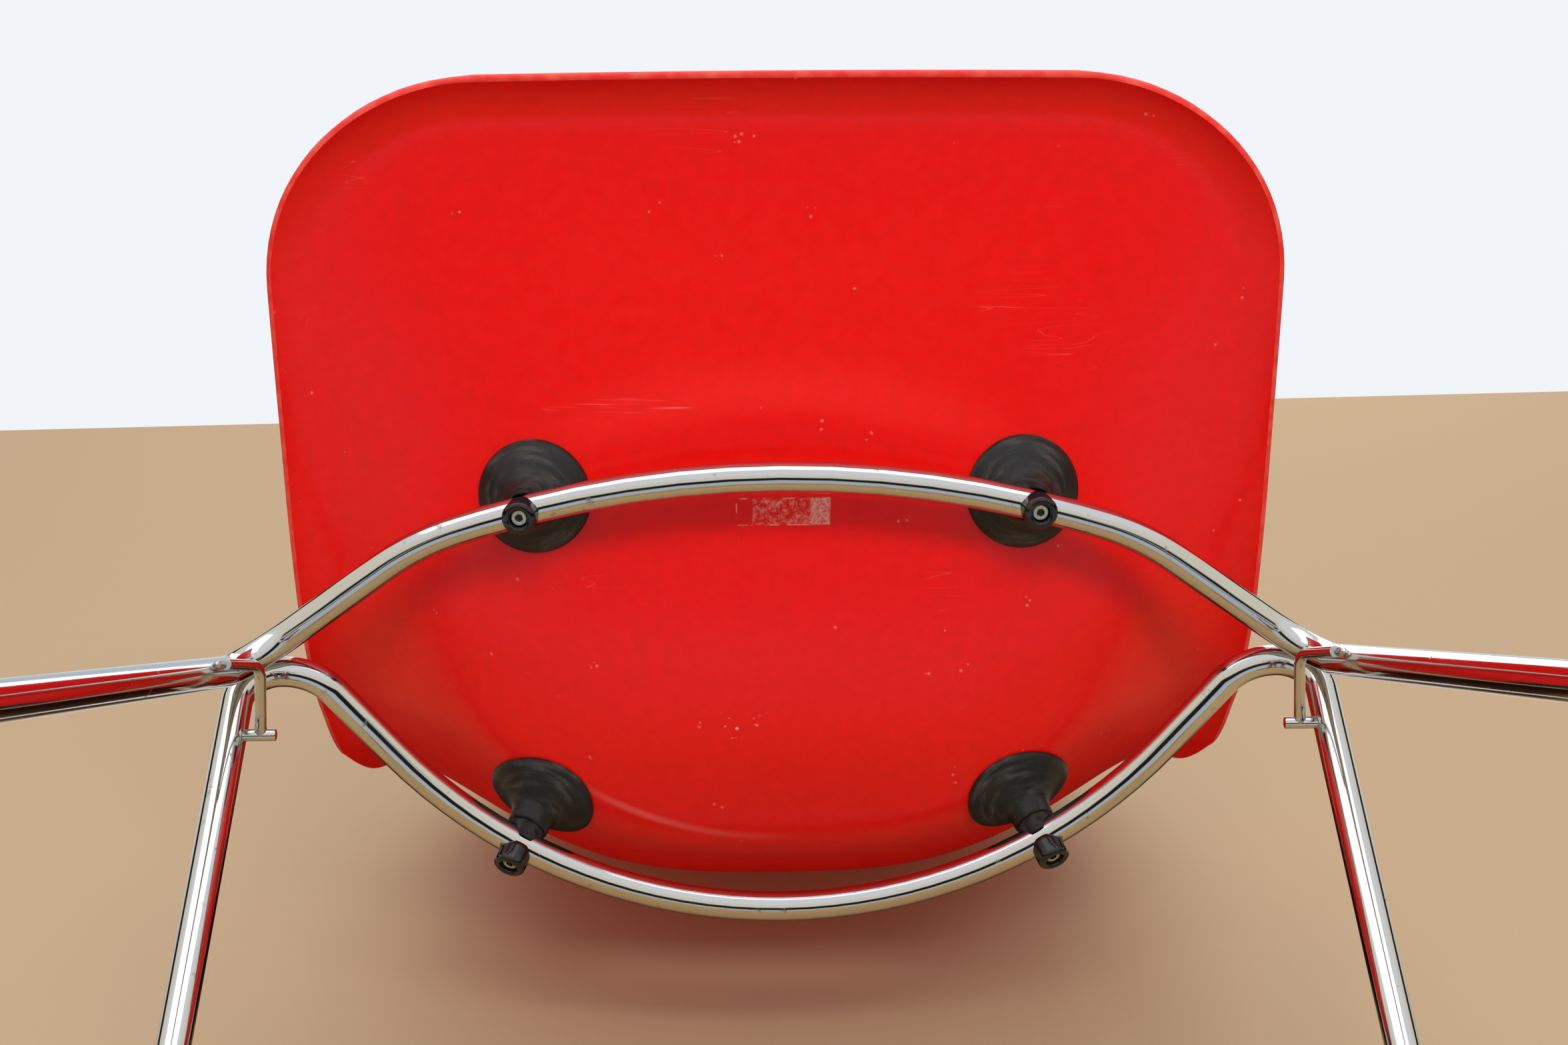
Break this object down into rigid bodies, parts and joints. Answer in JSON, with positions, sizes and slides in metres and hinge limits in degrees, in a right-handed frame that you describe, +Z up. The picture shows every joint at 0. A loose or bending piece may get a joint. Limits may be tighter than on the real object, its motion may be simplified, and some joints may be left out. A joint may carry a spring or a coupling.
{
  "type": "stacking chair",
  "caption": "Stacking side chair with a one-piece moulded shell on rubber mounts over two chromed bent-tube hoops with ganging hooks at the sides.",
  "frame": {"origin": "on the floor, under the middle of the overall box", "axes": "+Z up, the sitter faces -Y, +X to the right as seen from the front"},
  "size_m": [0.554, 0.5519, 0.8014],
  "materials": {
    "shell": "satin",
    "chrome": "polished",
    "mount_rubber": "matt",
    "saddle_rubber": "matt",
    "bumper": "gloss",
    "zinc": "satin",
    "glide": "satin"
  },
  "bodies": {
    "root": {"seat_shell": "shell", "front_hoop_tube": "chrome", "rear_hoop_tube": "chrome", "front_left_shock_mount": "mount_rubber", "front_left_threaded_insert": "zinc", "front_left_saddle_washer": "saddle_rubber", "front_left_stacking_bumper": "bumper", "front_left_mount_bolt": "zinc", "front_right_shock_mount": "mount_rubber", "front_right_threaded_insert": "zinc", "front_right_saddle_washer": "saddle_rubber", "front_right_stacking_bumper": "bumper", "front_right_mount_bolt": "zinc", "rear_left_shock_mount": "mount_rubber", "rear_left_threaded_insert": "zinc", "rear_left_saddle_washer": "saddle_rubber", "rear_left_stacking_bumper": "bumper", "rear_left_mount_bolt": "zinc", "rear_right_shock_mount": "mount_rubber", "rear_right_threaded_insert": "zinc", "rear_right_saddle_washer": "saddle_rubber", "rear_right_stacking_bumper": "bumper", "rear_right_mount_bolt": "zinc", "left_hoop_weld": "chrome", "left_hook_pin": "chrome", "left_ganging_hook": "chrome", "front_left_foot_glide": "glide", "rear_left_foot_glide": "glide", "right_hoop_weld": "chrome", "right_hook_pin": "chrome", "right_ganging_hook": "chrome", "front_right_foot_glide": "glide", "rear_right_foot_glide": "glide"}
  },
  "joints": []
}
